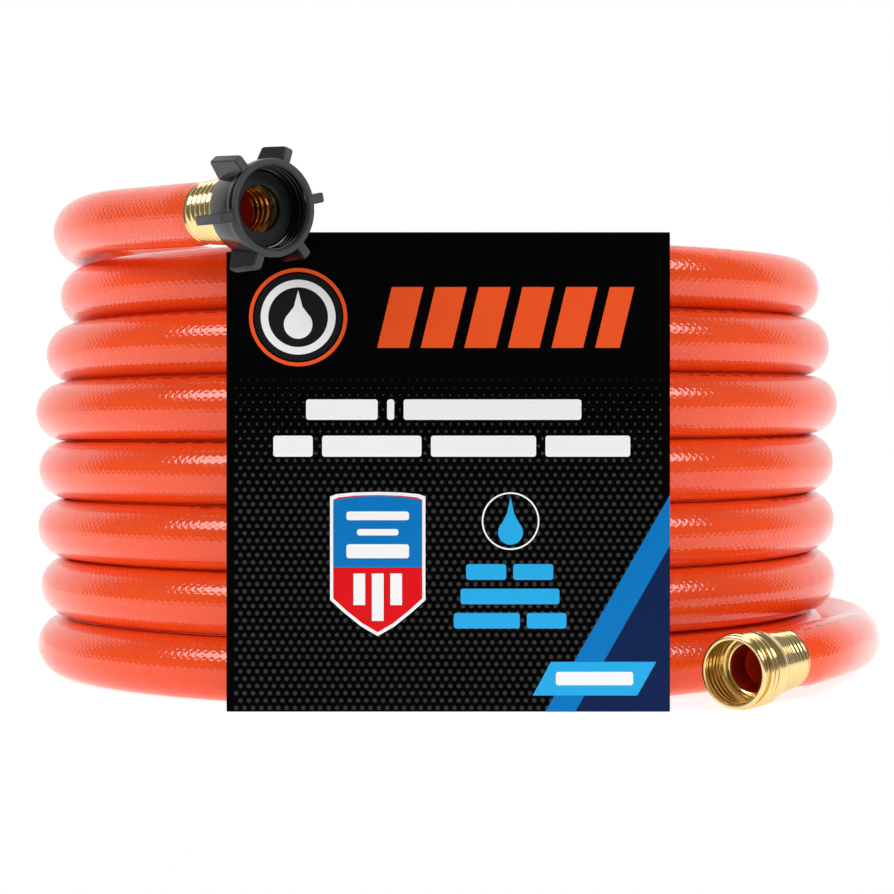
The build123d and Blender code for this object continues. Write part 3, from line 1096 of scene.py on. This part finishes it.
def bar(left, low, right, high, corner=0.9):
    corners = [(right - corner, low + corner, -90), (right - corner, high - corner, 0),
               (left + corner, high - corner, 90), (left + corner, low + corner, 180)]
    points = []
    for x, z, start in corners:
        for k in range(5):
            angle = math.radians(start + 90 * k / 4)
            points.append((x + corner * math.cos(angle), z + corner * math.sin(angle)))
    return points


def slanted(left, low, right, high, lean):
    return [(left, low), (right, low), (right + lean, high), (left + lean, high)]


def wordBars(left, right, low, high, shares, gap):
    # a line of plain bars, as wide as the shares say
    room = right - left - gap * (len(shares) - 1)
    bars, x = [], left
    for share in shares:
        width = room * share / sum(shares)
        bars.append(bar(x, low, x + width, high))
        x += width + gap
    return bars


def dropOutline(x, low, high, radius, count=28):
    centre = low + radius
    points = []
    for i in range(count + 1):
        angle = math.radians(-225 + 270 * i / count)
        points.append((x + radius * math.cos(angle), centre + radius * math.sin(angle)))
    points.append((x + radius * 0.30, centre + (high - centre) * 0.52))
    points.append((x, high))
    points.append((x - radius * 0.30, centre + (high - centre) * 0.52))
    return points


def shieldOutline(left, right, low, high, inset=0.0):
    middle = (left + right) / 2
    half = (right - left) / 2 - inset
    shoulder = low + (high - low) * 0.25 + inset * 0.5
    tip = low + inset * 1.2
    flank = [(half * t, tip + (shoulder - tip) * t**1.25) for t in (0.35, 0.7, 1)]
    points = [(middle, tip)] + [(middle + x, z) for x, z in flank]
    for degrees in (0, 30, 60, 90, 120, 150, 180):
        angle = math.radians(degrees)
        points.append((middle + half * math.cos(angle), high - inset - 1.6 + 1.6 * math.sin(angle)))
    return points + [(middle - x, z) for x, z in reversed(flank)]


emblemSet = {"middle": (24.5, 135.0), "ring": (15.5, 16.8), "disc": 14.9, "innerRing": (10.2, 12.8),
             "drop": (127.6, 144.2, 4.9)}
stripeSet = {"left": 51.5, "low": 124.5, "high": 145.3, "lean": 5.0, "width": 10.8, "step": 14.9,
             "last": (126.0, 134.4)}
shieldSet = {"edge": (35.4, 68.0, 26.0, 75.3), "rim": 1.1,
             "head": [(36.6, 49.5), (66.8, 49.5), (66.8, 72.4), (60.0, 73.6), (51.7, 74.0), (43.4, 73.6),
                      (36.6, 72.4)],
             "bars": [(41.0, 65.6, 62.4, 68.6), (44.6, 60.4, 58.8, 62.6), (41.0, 52.6, 62.4, 57.4)],
             "pales": [(43.4, 36.6, 47.4, 47.4), (49.7, 31.2, 53.7, 47.4), (56.0, 36.6, 60.0, 47.4)]}
# each line of bars: its left, right, low and high, and how it is shared out
captionSet = {"lines": [(27.2, 121.3, 99.9, 106.9, (2.5, 0.25, 6.2)),
                        (16.0, 138.0, 87.3, 94.5, (1.35, 3.4, 3.6, 2.9))], "gap": 3.2}
noteSet = {"lines": [(81.9, 111.7, 45.2, 50.6, (3, 3)), (80.0, 113.8, 36.9, 42.2, (1,)),
                     (77.7, 116.2, 28.6, 33.9, (5, 3))], "gap": 2.4}
dropSet = {"middle": (97.1, 65.3), "ring": (9.3, 9.85), "drop": (57.2, 73.6, 4.25)}
cornerSet = {"low": 0.3, "bandLeft": 109.0, "fieldLeft": 119.3, "fieldTop": 57.0, "bandTop": 74.3,
             "tab": [(104.7, 5.7), (140.4, 5.7), (146.9, 17.2), (110.9, 17.2)],
             "bar": (112.6, 9.2, 139.0, 13.8)}


def linesOfBars(lineSet):
    return [outline for line in lineSet["lines"] for outline in wordBars(*line, lineSet["gap"])]


def buildPrint():
    width = (frontHigh.x - frontLow.x) / mm
    # round emblem: a water drop inside two rings
    x, z = emblemSet["middle"]
    inlay("emblemRing", arcBand(x, z, *emblemSet["ring"], pieces=24), "inkOrange", 1)
    inlay("emblemDisc", [circle(x, z, emblemSet["disc"])], "inkDisc", 1)
    innerRing = arcBand(x, z, *emblemSet["innerRing"], pieces=18)
    inlay("emblemDrop", innerRing + [dropOutline(x, *emblemSet["drop"])], "inkWhite", 2)
    # a bold slanted stripe motif
    low, high, lean = stripeSet["low"], stripeSet["high"], stripeSet["lean"]
    lefts = [stripeSet["left"] + i * stripeSet["step"] for i in range(5)]
    stripes = [slanted(left, low, left + stripeSet["width"], high, lean) for left in lefts]
    lastLeft, lastRight = stripeSet["last"]
    inlay("bannerStripes", stripes + [slanted(lastLeft, low, lastRight, high, lean)], "inkOrange", 1)
    inlay("captionBars", linesOfBars(captionSet), "inkWhite", 1)
    # shield: white edge, blue head, red body with a pale middle
    inlay("shieldEdge", [shieldOutline(*shieldSet["edge"])], "inkWhite", 1)
    inlay("shieldBody", [shieldOutline(*shieldSet["edge"], shieldSet["rim"])], "inkRed", 2)
    inlay("shieldHead", [shieldSet["head"]], "inkBlue", 3)
    pales = [slanted(*pale, 0) for pale in shieldSet["pales"]]
    inlay("shieldBars", [bar(*sides) for sides in shieldSet["bars"]] + pales, "inkWhite", 4)
    # water drop in a ring, with three short lines under it
    x, z = dropSet["middle"]
    inlay("dropRing", arcBand(x, z, *dropSet["ring"], pieces=18), "inkWhite", 1)
    inlay("waterDrop", [dropOutline(x, *dropSet["drop"])], "inkSky", 1)
    inlay("noteBars", linesOfBars(noteSet), "inkSky", 1)
    # corner decoration
    low, bandLeft, fieldLeft = cornerSet["low"], cornerSet["bandLeft"], cornerSet["fieldLeft"]
    fieldTop, bandTop = (width, cornerSet["fieldTop"]), (width, cornerSet["bandTop"])
    inlay("cornerBand", [[(bandLeft, low), (fieldLeft, low), fieldTop, bandTop]], "inkBlue", 1)
    inlay("cornerField", [[(fieldLeft, low), (width, low), fieldTop]], "inkNavy", 1)
    inlay("cornerTab", [cornerSet["tab"]], "inkSky", 2)
    inlay("cornerTabBar", [bar(*cornerSet["bar"])], "inkWhite", 3)


dotSet = {"spacing": 2.87, "radius": 0.78, "top": 118.0, "fade": 42.0, "low": 1.5, "lift": 0.025}


def dotTree():
    # a printed hexagonal screen of dots that shrink towards the top of the card
    tree, given, result = newNodes("dotScreen", [
        ("Columns", "NodeSocketInt", 52), ("Rows", "NodeSocketInt", 48),
        ("Spacing", "NodeSocketFloat", 0.00287),
        ("Radius", "NodeSocketFloat", 0.00062), ("Fade", "NodeSocketFloat", 0.04)])
    total = mathNode(tree, "MULTIPLY", given.outputs["Columns"], given.outputs["Rows"])
    index = tree.nodes.new("GeometryNodeInputIndex").outputs[0]
    row = mathNode(tree, "FLOOR", mathNode(tree, "DIVIDE", index, given.outputs["Columns"]))
    column = mathNode(tree, "SUBTRACT", index, mathNode(tree, "MULTIPLY", row, given.outputs["Columns"]))
    shifted = mathNode(tree, "MULTIPLY_ADD", mathNode(tree, "MODULO", row, 2.0), 0.5, column)
    x = mathNode(tree, "MULTIPLY", shifted, given.outputs["Spacing"])
    rise = mathNode(tree, "MULTIPLY", given.outputs["Spacing"], math.sqrt(3) / 2)
    z = mathNode(tree, "MULTIPLY", row, rise)
    spot = tree.nodes.new("ShaderNodeCombineXYZ")
    tree.links.new(x, spot.inputs["X"])
    tree.links.new(z, spot.inputs["Z"])
    points = tree.nodes.new("GeometryNodePoints")
    tree.links.new(total, points.inputs["Count"])
    tree.links.new(spot.outputs[0], points.inputs["Position"])
    top = mathNode(tree, "MULTIPLY", given.outputs["Rows"], rise)
    left = mathNode(tree, "SUBTRACT", top, z)
    size = mathNode(tree, "MINIMUM", mathNode(tree, "DIVIDE", left, given.outputs["Fade"]), 1.0)
    grown = mathNode(tree, "MULTIPLY", mathNode(tree, "SQRT", size), given.outputs["Radius"])
    disc = tree.nodes.new("GeometryNodeMeshCylinder")
    disc.inputs["Vertices"].default_value = 8
    disc.inputs["Radius"].default_value = 1.0
    disc.inputs["Depth"].default_value = 0.00004
    lay = tree.nodes.new("ShaderNodeCombineXYZ")
    lay.inputs["X"].default_value = math.pi / 2
    scale = tree.nodes.new("ShaderNodeCombineXYZ")
    tree.links.new(grown, scale.inputs["X"])
    tree.links.new(grown, scale.inputs["Y"])
    scale.inputs["Z"].default_value = 1.0
    copies = tree.nodes.new("GeometryNodeInstanceOnPoints")
    tree.links.new(points.outputs[0], copies.inputs["Points"])
    tree.links.new(disc.outputs["Mesh"], copies.inputs["Instance"])
    tree.links.new(lay.outputs[0], copies.inputs["Rotation"])
    tree.links.new(scale.outputs[0], copies.inputs["Scale"])
    finishTree(tree, given, result, copies.outputs[0])
    return tree


def buildDots():
    width = (frontHigh.x - frontLow.x) / mm
    spacing = dotSet["spacing"]
    columns = int((width - 3) / spacing)
    rows = int((dotSet["top"] - dotSet["low"]) / (spacing * math.sqrt(3) / 2))
    values = {"Columns": columns, "Rows": rows, "Spacing": spacing * mm,
              "Radius": dotSet["radius"] * mm, "Fade": dotSet["fade"] * mm}
    mesh = grow("dotScreen", bpy.data.meshes.new("dotSeed"), dotTree(), values, inks["inkDot"])
    start = ((width - (columns - 0.5) * spacing) / 2) * mm
    corner = Vector((frontLow.x + start, frontLow.y - dotSet["lift"] * mm, frontLow.z + dotSet["low"] * mm))
    mesh.transform(Matrix.Translation(corner))
    dots = bpy.data.objects.new("dotScreen", mesh)
    bpy.context.collection.objects.link(dots)
    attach(dots, hoseBody)
    print("dot screen:", len(mesh.polygons), "faces")


buildPrint()
buildDots()
print("print on the card built")
